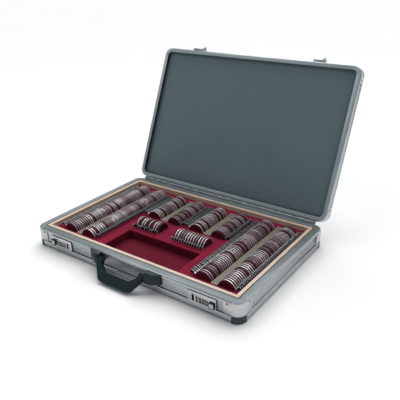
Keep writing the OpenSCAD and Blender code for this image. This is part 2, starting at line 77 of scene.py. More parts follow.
class Shade:
    """A material built node by node. With lid=True its pattern is laid out as if the lid were closed."""

    def __init__(self, name, lid=False):
        self.material = bpy.data.materials.new(name)
        self.material.use_nodes = True
        self.tree = self.material.node_tree
        self.tree.nodes.clear()
        out = self.node("ShaderNodeOutputMaterial")
        self.bsdf = self.node("ShaderNodeBsdfPrincipled")
        self.link(self.bsdf.outputs["BSDF"], out.inputs["Surface"])
        self.at = self.node("ShaderNodeTexCoord").outputs["Object"]
        if lid:
            turn = self.node("ShaderNodeVectorRotate")
            turn.rotation_type = "X_AXIS"
            turn.inputs["Center"].default_value = HINGE
            turn.inputs["Angle"].default_value = OPEN_ANGLE
            self.link(self.at, turn.inputs["Vector"])
            self.at = turn.outputs["Vector"]

    def node(self, kind):
        return self.tree.nodes.new(kind)

    def link(self, a, b):
        self.tree.links.new(a, b)

    def set(self, **values):
        for key, value in values.items():
            self.bsdf.inputs[key.replace("_", " ")].default_value = value

    def math(self, op, a, b=0.0):
        n = self.node("ShaderNodeMath")
        n.operation = op
        for socket, value in zip(n.inputs, (a, b)):
            if isinstance(value, (int, float)):
                socket.default_value = value
            else:
                self.link(value, socket)
        return n.outputs[0]

    def stretched(self, stretch):
        n = self.node("ShaderNodeMapping")
        n.inputs["Scale"].default_value = stretch
        self.link(self.at, n.inputs["Vector"])
        return n.outputs["Vector"]

    def noise(self, scale, detail=3.0, stretch=None, roughness=0.55, distortion=0.0):
        n = self.node("ShaderNodeTexNoise")
        n.inputs["Scale"].default_value = scale
        n.inputs["Detail"].default_value = detail
        n.inputs["Roughness"].default_value = roughness
        n.inputs["Distortion"].default_value = distortion
        self.link(self.stretched(stretch) if stretch else self.at, n.inputs["Vector"])
        return n.outputs["Fac"]

    def cells(self, scale):
        n = self.node("ShaderNodeTexVoronoi")
        n.inputs["Scale"].default_value = scale
        self.link(self.at, n.inputs["Vector"])
        return n.outputs["Distance"]

    def axis(self, which):
        n = self.node("ShaderNodeSeparateXYZ")
        self.link(self.at, n.inputs[0])
        return n.outputs[which]

    def between(self, which, low, high):
        """One where the coordinate is between two values, and nought elsewhere."""
        place = self.axis(which)
        return self.math("MULTIPLY", self.math("GREATER_THAN", place, low), self.math("LESS_THAN", place, high))

    def ramp(self, value, stops):
        n = self.node("ShaderNodeValToRGB")
        r = n.color_ramp
        r.elements[0].position, r.elements[0].color = stops[0][0], (*stops[0][1], 1)
        r.elements[1].position, r.elements[1].color = stops[-1][0], (*stops[-1][1], 1)
        for position, colour in stops[1:-1]:
            r.elements.new(position).color = (*colour, 1)
        self.link(value, n.inputs["Fac"])
        return n.outputs["Color"]

    def span(self, value, lo, hi, from_lo=0.0, from_hi=1.0):
        n = self.node("ShaderNodeMapRange")
        n.inputs["From Min"].default_value = from_lo
        n.inputs["From Max"].default_value = from_hi
        n.inputs["To Min"].default_value = lo
        n.inputs["To Max"].default_value = hi
        self.link(value, n.inputs["Value"])
        return n.outputs["Result"]

    def mix(self, share, a, b):
        n = self.node("ShaderNodeMix")
        n.data_type = "RGBA"
        sockets = {"Factor": n.inputs[0], "A": n.inputs[6], "B": n.inputs[7]}
        for key, value in (("Factor", share), ("A", a), ("B", b)):
            if isinstance(value, (int, float)):
                sockets[key].default_value = value
            elif isinstance(value, tuple):
                sockets[key].default_value = (*value, 1)
            else:
                self.link(value, sockets[key])
        return n.outputs[2]

    def colour(self, socket):
        self.link(socket, self.bsdf.inputs["Base Color"])

    def rough(self, socket):
        self.link(socket, self.bsdf.inputs["Roughness"])

    def metal(self, socket):
        self.link(socket, self.bsdf.inputs["Metallic"])

    def bump(self, height, strength, distance):
        n = self.node("ShaderNodeBump")
        n.inputs["Strength"].default_value = strength
        n.inputs["Distance"].default_value = distance
        self.link(height, n.inputs["Height"])
        previous = self.bsdf.inputs["Normal"].links
        if previous:
            self.link(previous[0].from_socket, n.inputs["Normal"])
        self.link(n.outputs["Normal"], self.bsdf.inputs["Normal"])


def shades(colour, low, high):
    """A darker and a lighter shade of a colour."""
    return tuple(c * low for c in colour), tuple(min(1.0, c * high) for c in colour)


def extruded_metal(name, colour, rough, band, rim_shade_colour, rim, groove=None, lid=False):
    """Anodised extrusion: streaks run round the case, its band is finely dimpled, its rim is painted a darker
    grey as painted shade for the dark surroundings it reflects, and its groove is painted near black as painted
    shade."""
    s = Shade(name, lid)
    streak = s.noise(1.0, 4, (14, 14, 900))
    cloud = s.noise(9, 3)
    dark, light = shades(colour, 0.84, 1.12)
    base = s.mix(s.span(cloud, 0.0, 0.5), s.ramp(streak, [(0.3, dark), (0.7, light)]), light)
    on_rim = s.between("Z", *rim)
    # painted shade: the rim takes a darker colour, standing in for the dark surroundings it reflects
    base = s.mix(on_rim, base, rim_shade_colour)
    if groove:
        # painted shade: the groove's band is painted near black, standing in for the shadow inside it
        base = s.mix(s.between("Z", *groove), base, shades(colour, 0.06, 0.06)[0])
    s.colour(base)
    satin = s.span(streak, rough - 0.07, rough + 0.1, 0.3, 0.7)
    s.rough(s.math("MULTIPLY", satin, s.span(on_rim, 1.0, 1.6)))
    s.bump(streak, 0.12, 0.0002)
    dimple = s.math("MULTIPLY", s.cells(620), s.between("Z", *band))
    s.bump(dimple, 0.5, 0.0004)
    s.metal(s.span(on_rim, 0.85, 0.35))
    return s.material


def sheet_metal(name, colour, rough, grain, strength, metallic=0.9):
    """Pressed or plated sheet with small scratches and handling marks."""
    s = Shade(name)
    cloud = s.noise(22, 5)
    scratch = s.noise(1.0, 6, (60, 420, 420), 0.7, 0.6)
    dark, light = shades(colour, 0.85, 1.08)
    s.colour(s.ramp(cloud, [(0.3, dark), (0.65, light)]))
    s.rough(s.span(scratch, rough - 0.05, rough + 0.14, 0.35, 0.75))
    s.bump(s.noise(grain, 2), strength, 0.0002)
    s.set(Metallic=metallic)
    return s.material


def cover_metal(name, colour, rim_shade_colour, rim, lid=False):
    """A pressed corner cover: satin plating on its skin, and the case's rim beyond it painted darker as painted
    shade.
    """
    s = Shade(name, lid)
    cloud = s.noise(30, 4)
    dark, light = shades(colour, 0.86, 1.08)
    skin = s.ramp(cloud, [(0.3, dark), (0.65, light)])
    on_rim = s.between("Z", *rim)
    # painted shade: the rim beyond the cover takes the darker rim colour
    s.colour(s.mix(on_rim, skin, rim_shade_colour))
    s.rough(s.math("MULTIPLY", s.span(cloud, 0.26, 0.42, 0.3, 0.7), s.span(on_rim, 1.0, 1.3)))
    s.bump(s.noise(520, 2), 0.3, 0.0003)
    s.bump(s.noise(90, 2), 0.15, 0.0006)
    s.metal(s.span(on_rim, 0.8, 0.35))
    return s.material


def stippled_metal(name, colour, lid=False):
    """Embossed sheet for the case's top and bottom."""
    s = Shade(name, lid)
    cloud = s.noise(6, 4)
    dark, light = shades(colour, 0.86, 1.08)
    s.colour(s.ramp(cloud, [(0.3, dark), (0.7, light)]))
    s.rough(s.span(s.noise(40, 4), 0.3, 0.46))
    s.bump(s.cells(420), 0.55, 0.0005)
    s.set(Metallic=0.85)
    return s.material


def moulded(name, colour, rough, grain=1400, strength=0.25, gloss=0.5):
    """Moulded plastic with a fine eroded grain."""
    s = Shade(name)
    cloud = s.noise(35, 4)
    dark, light = shades(colour, 0.75, 1.25)
    s.colour(s.ramp(cloud, [(0.3, dark), (0.7, light)]))
    s.rough(s.span(s.noise(70, 5), rough - 0.07, rough + 0.1, 0.3, 0.7))
    s.bump(s.noise(grain, 3), strength, 0.0002)
    s.set(Specular_IOR_Level=gloss)
    return s.material


def flock(name, colour, shade_below):
    """Flocked plastic: short upright fibres, brushed a little unevenly, and painted darker below a height as
    painted shade.
    """
    s = Shade(name)
    patch = s.noise(28, 4, roughness=0.6)
    fibre = s.noise(1500, 2)
    dark, light = shades(colour, 0.72, 1.28)
    base = s.ramp(patch, [(0.32, dark), (0.68, light)])
    # painted shade: below the given height the colour is darker, standing in for the shade in the recess
    base = s.mix(s.math("LESS_THAN", s.axis("Z"), shade_below), base, shades(colour, 0.45, 0.45)[0])
    s.colour(s.mix(s.span(fibre, 0.0, 0.45, 0.35, 0.65), base, dark))
    s.rough(s.span(patch, 0.82, 0.98))
    s.bump(fibre, 0.5, 0.0004)
    s.bump(s.noise(120, 3), 0.2, 0.0006)
    s.set(Sheen_Weight=0.15, Sheen_Roughness=0.45, Sheen_Tint=(0.9, 0.25, 0.35, 1), Specular_IOR_Level=0.15)
    return s.material


def cloth(name, colour):
    """Fine plain weave over a pad, laid out across the closed lid."""
    s = Shade(name, lid=True)
    thread = 2 * math.pi / (0.9 * MM)
    warp = s.math("SINE", s.math("MULTIPLY", s.axis("X"), thread))
    weft = s.math("SINE", s.math("MULTIPLY", s.axis("Y"), thread))
    weave = s.math("MULTIPLY", warp, weft)
    patch = s.noise(14, 4)
    slub = s.noise(1.0, 3, (900, 60, 60))
    dark, light = shades(colour, 0.95, 1.05)
    base = s.ramp(patch, [(0.3, dark), (0.7, light)])
    s.colour(s.mix(s.span(slub, 0.0, 0.4, 0.35, 0.7), base, shades(colour, 0.84, 1.0)[0]))
    s.rough(s.span(patch, 0.74, 0.9))
    s.bump(weave, 0.25, 0.00015)
    s.bump(s.noise(240, 3), 0.12, 0.0005)
    s.set(Sheen_Weight=0.12, Sheen_Roughness=0.5, Sheen_Tint=(0.6, 0.75, 0.8, 1), Specular_IOR_Level=0.3)
    return s.material


def timber(name, colour):
    """Pale clear-coated wood with its grain along the piece's own X axis."""
    s = Shade(name)
    grain = s.noise(1.0, 6, (18, 260, 260), 0.62, 1.2)
    pore = s.noise(1.0, 3, (90, 1500, 1500))
    dark = (colour[0] * 0.72, colour[1] * 0.62, colour[2] * 0.52)
    light = tuple(min(1.0, c * 1.1) for c in colour)
    base = s.ramp(grain, [(0.3, dark), (0.48, colour), (0.7, light)])
    s.colour(s.mix(s.span(pore, 0.0, 0.4, 0.55, 0.75), base, dark))
    s.rough(s.span(grain, 0.36, 0.55))
    s.bump(grain, 0.12, 0.0003)
    s.set(Coat_Weight=0.15, Coat_Roughness=0.25)
    return s.material


def printed_card(name, colour, ink, pitch, half):
    """A card strip with a rule and a small mark beside each slot, printed along its own Y axis."""
    s = Shade(name)
    patch = s.noise(60, 4)
    fibre = s.noise(900, 3)
    dark, light = shades(colour, 0.86, 1.1)
    base = s.mix(s.span(fibre, 0.0, 0.25), s.ramp(patch, [(0.3, dark), (0.7, light)]), dark)
    x, y = s.axis("X"), s.axis("Y")
    phase = s.math("FRACT", s.math("DIVIDE", y, pitch))
    rule = s.math("LESS_THAN", phase, 0.07)
    across = s.math("ABSOLUTE", x)
    mark = s.math("MULTIPLY", s.math("GREATER_THAN", phase, 0.36), s.math("LESS_THAN", phase, 0.72))
    mark = s.math("MULTIPLY", mark, s.math("MULTIPLY", s.math("GREATER_THAN", across, 1.4 * MM),
                                           s.math("LESS_THAN", across, half - 2 * MM)))
    strokes = s.math("GREATER_THAN", s.noise(1.0, 1, (1500, 700, 1)), 0.5)
    mark = s.math("MULTIPLY", mark, strokes)
    line = s.math("LESS_THAN", across, 0.15 * MM)
    printed = s.math("MULTIPLY", s.math("MAXIMUM", s.math("MAXIMUM", rule, mark), line), 0.7)
    border = s.math("GREATER_THAN", across, half - 1.3 * MM)
    s.colour(s.mix(border, s.mix(printed, base, ink), shades(colour, 1.0, 1.5)[1]))
    s.rough(s.span(patch, 0.5, 0.66))
    s.bump(fibre, 0.15, 0.0001)
    return s.material


def clear_glass(name, tint):
    """Polished lens glass with a faint coating."""
    s = Shade(name)
    smear = s.noise(60, 4)
    s.colour(s.ramp(smear, [(0.3, tint), (0.7, tuple(min(1.0, c * 1.04) for c in tint))]))
    s.rough(s.span(smear, 0.01, 0.05, 0.3, 0.75))
    s.set(Transmission_Weight=1.0, IOR=1.52)
    return s.material


def rim_metal(name, colour, rough):
    """Turned metal: fine rings and small handling marks."""
    s = Shade(name)
    cloud = s.noise(90, 4)
    turned = s.noise(1.0, 3, (1600, 1600, 1600))
    dark, light = shades(colour, 0.88, 1.08)
    s.colour(s.ramp(cloud, [(0.32, dark), (0.66, light)]))
    s.rough(s.span(cloud, rough - 0.04, rough + 0.08))
    s.bump(turned, 0.12, 0.0001)
    s.set(Metallic=0.6)
    return s.material


LENS_PITCH = 6 * MM
ROW_PITCH = 6.6 * MM
RIM_TOP = max(v.co.z for v in NODES["base_rails"].data.vertices)
BAND = (17.0 * MM, 37.6 * MM)
# the height band of the front groove, painted near black as painted shade
GROOVE_SHADE = (14.9 * MM, 17.1 * MM)
LID_RIM = min((TO_CLOSED @ v.co).z for v in NODES["lid_rails"].data.vertices)
LID_BAND = (LID_RIM + 7.0 * MM, LID_RIM + 18.8 * MM)
# below this height the tray's flock is painted darker, as painted shade in the recess
RECESS_SHADE_Z = max(v.co.z for v in NODES["lens_tray"].data.vertices) - 4 * MM

ALU = (0.41, 0.435, 0.445)
# painted shade: the darker rim colours stand in for the dark lid and lining the rims reflect
SHADED_FLANGE = (0.15, 0.175, 0.183)
SHADED_LID_FLANGE = (0.32, 0.38, 0.39)
COVER = (0.54, 0.545, 0.55)
PANEL = (0.36, 0.385, 0.4)
CARD = (0.17, 0.15, 0.105)
PRINT = (0.045, 0.035, 0.03)
M = {
    "frame": extruded_metal("frame_metal", ALU, 0.27, BAND, SHADED_FLANGE, (RIM_TOP - 0.4 * MM, 1.0), GROOVE_SHADE),
    "lid_frame": extruded_metal("lid_frame_metal", ALU, 0.27, LID_BAND, SHADED_LID_FLANGE,
                                (-1.0, LID_RIM + 0.4 * MM), lid=True),
    "corner": cover_metal("corner_metal", COVER, SHADED_FLANGE, (RIM_TOP - 0.6 * MM, RIM_TOP + 1.0 * MM)),
    "lid_corner": cover_metal("lid_corner_metal", COVER, SHADED_LID_FLANGE,
                              (LID_RIM - 1.0 * MM, LID_RIM + 0.6 * MM), lid=True),
    "panel": stippled_metal("panel_metal", PANEL),
    "lid_panel": stippled_metal("lid_panel_metal", PANEL, lid=True),
    "plastic": moulded("black_plastic", (0.007, 0.021, 0.026), 0.48, gloss=0.28),
    "foot": moulded("foot_rubber", (0.04, 0.06, 0.066), 0.55, gloss=0.3),
    "grip": moulded("handle_plastic", (0.006, 0.017, 0.021), 0.42, 1000, 0.3, 0.26),
    "wood": timber("pale_wood", (0.57, 0.455, 0.36)),
    "flock": flock("crimson_flock", (0.2, 0.006, 0.03), RECESS_SHADE_Z),
    # painted shade: the racks' flock is a darker copy of the tray's, standing in for the shade between the
    # lenses
    "rack": flock("shaded_rack_flock", (0.078, 0.005, 0.015), 0.0),
    "card": printed_card("label_card", CARD, PRINT, LENS_PITCH, 6.5 * MM),
    "wide_card": printed_card("wide_label_card", CARD, PRINT, LENS_PITCH, 8.5 * MM),
    "steel": sheet_metal("hinge_steel", (0.22, 0.245, 0.26), 0.4, 800, 0.1),
    "rivet": sheet_metal("rivet_steel", (0.22, 0.23, 0.235), 0.26, 1200, 0.1),
    "lining": cloth("slate_cloth", (0.12, 0.17, 0.184)),
    "chrome": sheet_metal("bright_plate", (0.26, 0.28, 0.285), 0.2, 900, 0.06, metallic=1.0),
    "plate": sheet_metal("satin_plate", (0.5, 0.51, 0.515), 0.3, 900, 0.12),
    "dark": moulded("lock_shadow", (0.006, 0.006, 0.007), 0.6, 900, 0.1),
    "red": moulded("red_marker", (0.14, 0.016, 0.03), 0.4, 900, 0.08),
    "dial": sheet_metal("dial_metal", (0.09, 0.09, 0.085), 0.3, 900, 0.1, metallic=0.5),
    "ink": moulded("dial_paint", (0.6, 0.58, 0.5), 0.5, 900, 0.05),
    "rim": rim_metal("rim_silver", (0.5, 0.52, 0.54), 0.3),
    "pale_rim": rim_metal("rim_bright", (0.72, 0.735, 0.75), 0.26),
    "grey_rim": rim_metal("rim_grey", (0.27, 0.285, 0.3), 0.32),
    "neck": rim_metal("neck_silver", (0.86, 0.87, 0.88), 0.25),
    "head": rim_metal("head_grey", (0.018, 0.022, 0.025), 0.34),
    "black_rim": rim_metal("rim_black", (0.03, 0.032, 0.036), 0.3),
    "occluder": moulded("occluder_black", (0.006, 0.006, 0.007), 0.35, 900, 0.08),
    "glass": clear_glass("lens_glass", (0.9, 0.96, 0.95)),
}


# ---------------------------------------------------------------- helpers for meshes

def add_piece(name, mesh, body, material=None, replaces=(), matrix=None):
    """Adds a mesh to the scene as a piece that rides a body and stands in for CAD nodes."""
    o = bpy.data.objects.new(name, mesh)
    bpy.context.scene.collection.objects.link(o)
    if matrix is not None:
        o.matrix_world = matrix
    if material is not None:
        mesh.materials.clear()
        mesh.materials.append(material)
    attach(o, body)
    if replaces:
        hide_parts(*replaces)
    return o


def smooth(mesh, angle=35):
    """Smooth shading that stays crisp at edges sharper than the angle in degrees."""
    mesh.polygons.foreach_set("use_smooth", [True] * len(mesh.polygons))
    mesh.set_sharp_from_angle(angle=math.radians(angle))
    mesh.update()


WELD = 0.002 * MM           # vertices nearer than this become one
SHARP = math.radians(35)    # edges that turn by more than this are eased
FLAT = math.radians(0.4)    # faces that turn by less than this become one


def dressed(name, material, width, segments=2, keep=None):
    """A finished copy of a CAD node: welded, with its crisp edges eased, in its place."""
    bm = bmesh.new()
    bm.from_mesh(NODES[name].data)
    bmesh.ops.remove_doubles(bm, verts=bm.verts, dist=WELD)
    bmesh.ops.dissolve_limit(bm, angle_limit=FLAT, verts=bm.verts, edges=bm.edges)
    # a face with a window in it can fold over itself once its edges are eased, so it is split first
    bmesh.ops.triangulate(bm, faces=[f for f in bm.faces if len(f.verts) > 6])
    if width:
        edges = [e for e in bm.edges if len(e.link_faces) == 2
                 and e.calc_face_angle(0) > SHARP
                 and (keep is None or keep(e))]
        bmesh.ops.bevel(bm, geom=edges, offset=width, offset_type="OFFSET", segments=segments,
                        profile=0.5, affect="EDGES", clamp_overlap=True)
    bmesh.ops.recalc_face_normals(bm, faces=bm.faces)
    mesh = bpy.data.meshes.new(name + "_finished")
    bm.to_mesh(mesh)
    bm.free()
    smooth(mesh)
    return add_piece(name + "_finished", mesh, NODES[name]["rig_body"], material, [name])


def paint(name, material):
    """Gives a CAD node that is kept as it is its material."""
    mesh = NODES[name].data
    mesh.materials.clear()
    mesh.materials.append(material)


def shrunk(outline, inset):
    """An outline moved inwards by inset, corner by corner. The outline runs anticlockwise."""
    result, n = [], len(outline)
    for i, p in enumerate(outline):
        a, b = Vector(outline[i - 1]), Vector(outline[(i + 1) % n])
        p = Vector(p)
        d0, d1 = (p - a).normalized(), (b - p).normalized()
        n0, n1 = Vector((-d0.y, d0.x)), Vector((-d1.y, d1.x))
        m = n0 + n1
        m = m / max(m.length_squared, 0.2) * 2
        result.append(p + m * inset)
    return result


def plate(bm, outline, low, high, ease, to_world, index=0, edge_index=None):
    """A plate with eased edges, from an outline in its own XY plane. Its rim may have a finish of its own."""
    inner = shrunk(outline, ease)
    rings = [[(p, low) for p in inner], [(p, low + ease) for p in outline],
             [(p, high - ease) for p in outline], [(p, high) for p in inner]]
    made = [[bm.verts.new(to_world @ Vector((p[0], p[1], h))) for p, h in ring] for ring in rings]
    n = len(outline)
    faces = [bm.faces.new(list(reversed(made[0]))), bm.faces.new(made[3])]
    for a, b in zip(made, made[1:]):
        for i in range(n):
            j = (i + 1) % n
            faces.append(bm.faces.new((a[i], a[j], b[j], b[i])))
    for f in faces:
        f.material_index = index
    if edge_index is not None:
        for f in faces[2:]:
            f.material_index = edge_index


def turned(bm, profile, steps, to_world, index):
    """A closed ring: profile points are [radius, height], turned about the plate's own Z axis."""
    loops = []
    for k in range(steps):
        a = 2 * math.pi * k / steps
        loops.append([bm.verts.new(to_world @ Vector((r * math.cos(a), r * math.sin(a), h)))
                      for r, h in profile])
    n = len(profile)
    for k in range(steps):
        a, b = loops[k], loops[(k + 1) % steps]
        for i in range(n):
            j = (i + 1) % n
            bm.faces.new((a[i], b[i], b[j], a[j])).material_index = index


def turned_solid(bm, rings, steps, to_world, index):
    """A solid of revolution: rings are [radius, height] from one pole to the other."""
    first = bm.verts.new(to_world @ Vector((0, 0, rings[0][1])))
    last = bm.verts.new(to_world @ Vector((0, 0, rings[-1][1])))
    loops = [[bm.verts.new(to_world @ Vector((r * math.cos(2 * math.pi * k / steps),
                                              r * math.sin(2 * math.pi * k / steps), h)))
              for k in range(steps)] for r, h in rings[1:-1]]
    for k in range(steps):
        j = (k + 1) % steps
        bm.faces.new((first, loops[0][j], loops[0][k])).material_index = index
        bm.faces.new((last, loops[-1][k], loops[-1][j])).material_index = index
        for a, b in zip(loops, loops[1:]):
            bm.faces.new((a[k], a[j], b[j], b[k])).material_index = index


def finished_mesh(bm, name, materials, angle=35):
    """Turns a bmesh into a mesh with outward normals, its materials and smooth shading."""
    bmesh.ops.recalc_face_normals(bm, faces=bm.faces)
    mesh = bpy.data.meshes.new(name)
    bm.to_mesh(mesh)
    bm.free()
    for m in materials:
        mesh.materials.append(m)
    smooth(mesh, angle)
    return mesh


# ---------------------------------------------------------------- lenses

RIM_T = 1.8 * MM
RIM_WIDTH = 2.65 * MM       # from the edge of the glass's opening to the outside of the rim
TAB_LIFT = math.radians(20)
NECK_HALF_T = 0.7 * MM
HEAD_HALF_T = 0.88 * MM
GLASS_EDGE = 0.7 * MM       # half the glass's thickness at its edge
SHIFT = 0.12                # mm, how far a lens may stand off its place in the row
LEAN = 0.4                  # degrees, how far it may lean
SPIN = 1.3                  # degrees, how far it may turn in its slot

# the finishes on a row of rims, in the order of its materials
SILVER, NECK, HEAD, BLACK, BRIGHT, GREY = range(6)
CLEAR, OPAQUE = range(2)


def rim_profile(outer, inner, half):
    """A rim's section: eased outer edges and a thinner lip round the glass."""
    e = 0.35 * MM
    lip = inner + 0.9 * MM
    return [(inner, -half + 0.4 * MM), (lip - 0.3 * MM, -half + 0.3 * MM), (lip, -half + 0.1 * MM),
            (outer - e, -half), (outer - 0.12 * MM, -half + 0.18 * MM), (outer, -half + e),
            (outer, half - e), (outer - 0.12 * MM, half - 0.18 * MM), (outer - e, half),
            (lip, half - 0.1 * MM), (lip - 0.3 * MM, half - 0.3 * MM), (inner, half - 0.4 * MM)]


def rounded_end(x0, x1, half, r, steps):
    """The outline of a tab from x0 to x1 whose far corners are rounded."""
    pts = [(x0, -half), (x1 - r, -half)]
    pts += [(x1 - r + r * math.sin(a), -half + r - r * math.cos(a))
            for a in [math.pi / 2 * i / steps for i in range(1, steps)]]
    pts += [(x1, -half + r), (x1, half - r)]
    pts += [(x1 - r + r * math.cos(a), half - r + r * math.sin(a))
            for a in [math.pi / 2 * i / steps for i in range(1, steps)]]
    pts += [(x1 - r, half), (x0, half)]
    return pts


def lens_row(key, along, finishes, bulges, seed):
    """Builds one row's rims, handles and glass, one body per row, from where its CAD nodes are.

    The rims' finishes are drawn at random in short runs: the photograph doesn't show which lens has which.
    """
    rng = random.Random(seed)
    glo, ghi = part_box("glass_" + key)
    rlo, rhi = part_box("rims_" + key)
    centre = (glo + ghi) / 2
    radius_in = (ghi.z - glo.z) / 2
    outer = radius_in + RIM_WIDTH
    count = finishes["count"]
    side_axis = "x" if along == "y" else "y"
    mid = getattr(centre, side_axis)
    side = 1 if getattr(rhi, side_axis) - mid > mid - getattr(rlo, side_axis) else -1
    reach = max(getattr(rhi, side_axis) - mid, mid - getattr(rlo, side_axis)) / math.cos(TAB_LIFT)
    first, last = getattr(rlo, along) + RIM_T / 2, getattr(rhi, along) - RIM_T / 2
    rims, glass = bmesh.new(), bmesh.new()
    finish, left = SILVER, 0
    profile = rim_profile(outer, radius_in - 0.3 * MM, RIM_T / 2)
    for i in range(count):
        where = first + (last - first) * i / max(1, count - 1)
        place = Vector(centre)
        setattr(place, along, where + rng.uniform(-SHIFT, SHIFT) * MM)
        # the lens's own frame: X towards the handle's side, Y up, Z along the row
        out = Vector((side, 0, 0)) if along == "y" else Vector((0, side, 0))
        up = Vector((0, 0, 1))
        frame3 = Matrix((out, up, out.cross(up))).transposed().to_4x4()
        lean = Matrix.Rotation(math.radians(rng.uniform(-LEAN, LEAN)), 4, "X")
        spin = Matrix.Rotation(TAB_LIFT + math.radians(rng.uniform(-SPIN, SPIN)), 4, "Z")
        to_world = Matrix.Translation(place) @ frame3 @ lean @ spin
        dark = finishes["dark"](i)
        if left == 0:
            finish = rng.choice([m for m in finishes["metals"] if m != finish])
            left = 1 if finish == BLACK else rng.randint(1, 3)
        left -= 1
        turned(rims, profile, 48, to_world, BLACK if dark else finish)
        neck = rounded_end(outer - 1.2 * MM, outer + 5.2 * MM, 2.0 * MM, 0.4 * MM, 2)
        plate(rims, neck, -NECK_HALF_T, NECK_HALF_T, 0.2 * MM, to_world, finishes.get("neck", NECK))
        head = rounded_end(outer + 4.0 * MM, reach, 3.4 * MM, 2.2 * MM, 5)
        plate(rims, head, -HEAD_HALF_T, HEAD_HALF_T, 0.3 * MM, to_world, HEAD, BLACK if dark else GREY)
        bulge = bulges(i) * MM
        radius = radius_in - 0.02 * MM
        front = [(radius * t, GLASS_EDGE + bulge * (1 - t * t)) for t in (0.0, 0.3, 0.55, 0.8, 1.0)]
        back = [(radius * t, -GLASS_EDGE - 0.25 * bulge * (1 - t * t)) for t in (1.0, 0.66, 0.33, 0.0)]
        opaque = finishes.get("opaque", lambda k: False)(i)
        turned_solid(glass, front + back, 32, to_world, OPAQUE if opaque else CLEAR)
    rim_mesh = finished_mesh(rims, "rims_%s_finished" % key,
                             [M["rim"], M["neck"], M["head"], M["black_rim"], M["pale_rim"], M["grey_rim"]])
    glass_mesh = finished_mesh(glass, "glass_%s_finished" % key, [M["glass"], M["occluder"]], 50)
    body = "lenses_" + key
    add_piece("rims_%s_finished" % key, rim_mesh, body, None, ["rims_" + key])
    add_piece("glass_%s_finished" % key, glass_mesh, body, None, ["glass_" + key])


def count_of(key, along, pitch):
    """How many lenses stand in a row, from the length of its CAD node."""
    lo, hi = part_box("rims_" + key)
    return round((getattr(hi, along) - getattr(lo, along) - RIM_T) / pitch) + 1


# the finishes that each column's rims are drawn from
MIXED = (SILVER, BRIGHT, GREY, BLACK)
DULL = (SILVER, GREY, BLACK)
METALS = {"1": MIXED, "2": MIXED, "3": MIXED, "4": DULL, "5": (SILVER, BRIGHT, BLACK), "6": DULL,
          "7": MIXED, "8": MIXED}
BULGE = 0.4                 # mm, of the strongest glass, at the front end of its column
for seed, key in enumerate("12345678", 11):
    total = count_of(key, "y", LENS_PITCH)
    positive = key in "1236"  # a guess: positive glass is thickest in the middle, negative at its edge
    # painted shade: columns 2, 4 and 6 have their handles on the +X side, and their necks take the grey rim
    # finish in place of bright silver
    lens_row(key, "y", {"count": total, "dark": lambda i: False, "metals": METALS[key],
                        "neck": GREY if key in "246" else NECK},
             lambda i, t=total, p=positive: BULGE - BULGE * i / t if p else -BULGE * i / t, seed)
last = count_of("a", "x", ROW_PITCH) - 1
lens_row("a", "x", {"count": last + 1, "dark": lambda i: i in (1, 4, 6, last), "metals": (BRIGHT, SILVER),
                    "opaque": lambda i: i in (4, last)}, lambda i: 0.05, 31)
lens_row("b", "x", {"count": count_of("b", "x", ROW_PITCH), "dark": lambda i: False,
                    "metals": (BRIGHT, SILVER, GREY)}, lambda i: 0.1, 32)


# ---------------------------------------------------------------- tray, wood, card

paint("lens_tray", M["flock"])
paint("lens_racks", M["rack"])


def boards():
    """The four liner boards, each built along its own X axis so that the grain runs its length."""
    lo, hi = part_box("wood_liner")
    tray_lo, tray_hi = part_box("lens_tray")
    t = tray_lo.x - lo.x
    mid_z = (lo.z + hi.z) / 2
    for name, x, y, length, turn in (
            ("front", 0, lo.y + t / 2, hi.x - lo.x, 0), ("back", 0, hi.y - t / 2, hi.x - lo.x, 180),
            ("left", lo.x + t / 2, 0, hi.y - lo.y - 2 * t - 0.1 * MM, 90),
            ("right", hi.x - t / 2, 0, hi.y - lo.y - 2 * t - 0.1 * MM, -90)):
        bm = bmesh.new()
        half = length / 2
        outline = [(-half, -t / 2), (half, -t / 2), (half, t / 2), (-half, t / 2)]
        plate(bm, outline, lo.z - mid_z, hi.z - mid_z, 0.5 * MM, Matrix.Identity(4))
        mesh = finished_mesh(bm, "liner_board_" + name, [M["wood"]], 30)
        o = add_piece("liner_board_" + name, mesh, "base",
                      matrix=Matrix.Translation((x, y, mid_z)) @ Matrix.Rotation(math.radians(turn), 4, "Z"))
        if name == "front":
            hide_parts("wood_liner")


def strips():
    """The label strips, one card each, with the print laid out along its own Y axis."""
    verts = [v.co for v in NODES["label_strips"].data.vertices]
    xs = sorted({round(v.x, 5) for v in verts})
    for k in range(0, len(xs), 2):
        x0, x1 = xs[k], xs[k + 1]
        mine = [v for v in verts if x0 - 1e-5 <= v.x <= x1 + 1e-5]
        y0, y1 = min(v.y for v in mine), max(v.y for v in mine)
        z0, z1 = min(v.z for v in mine), max(v.z for v in mine)
        hx, hy = (x1 - x0) / 2, (y1 - y0) / 2
        bm = bmesh.new()
        plate(bm, [(-hx, -hy), (hx, -hy), (hx, hy), (-hx, hy)], 0, z1 - z0, 0.15 * MM, Matrix.Identity(4))
        card = M["wide_card"] if hx > 7.5 * MM else M["card"]
        mesh = finished_mesh(bm, "label_card_%d" % (k // 2 + 1), [card], 30)
        o = add_piece("label_card_%d" % (k // 2 + 1), mesh, "base",
                      matrix=Matrix.Translation(((x0 + x1) / 2, (y0 + y1) / 2, z0)))
        if k == 0:
            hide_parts("label_strips")


boards()
strips()


# ---------------------------------------------------------------- case

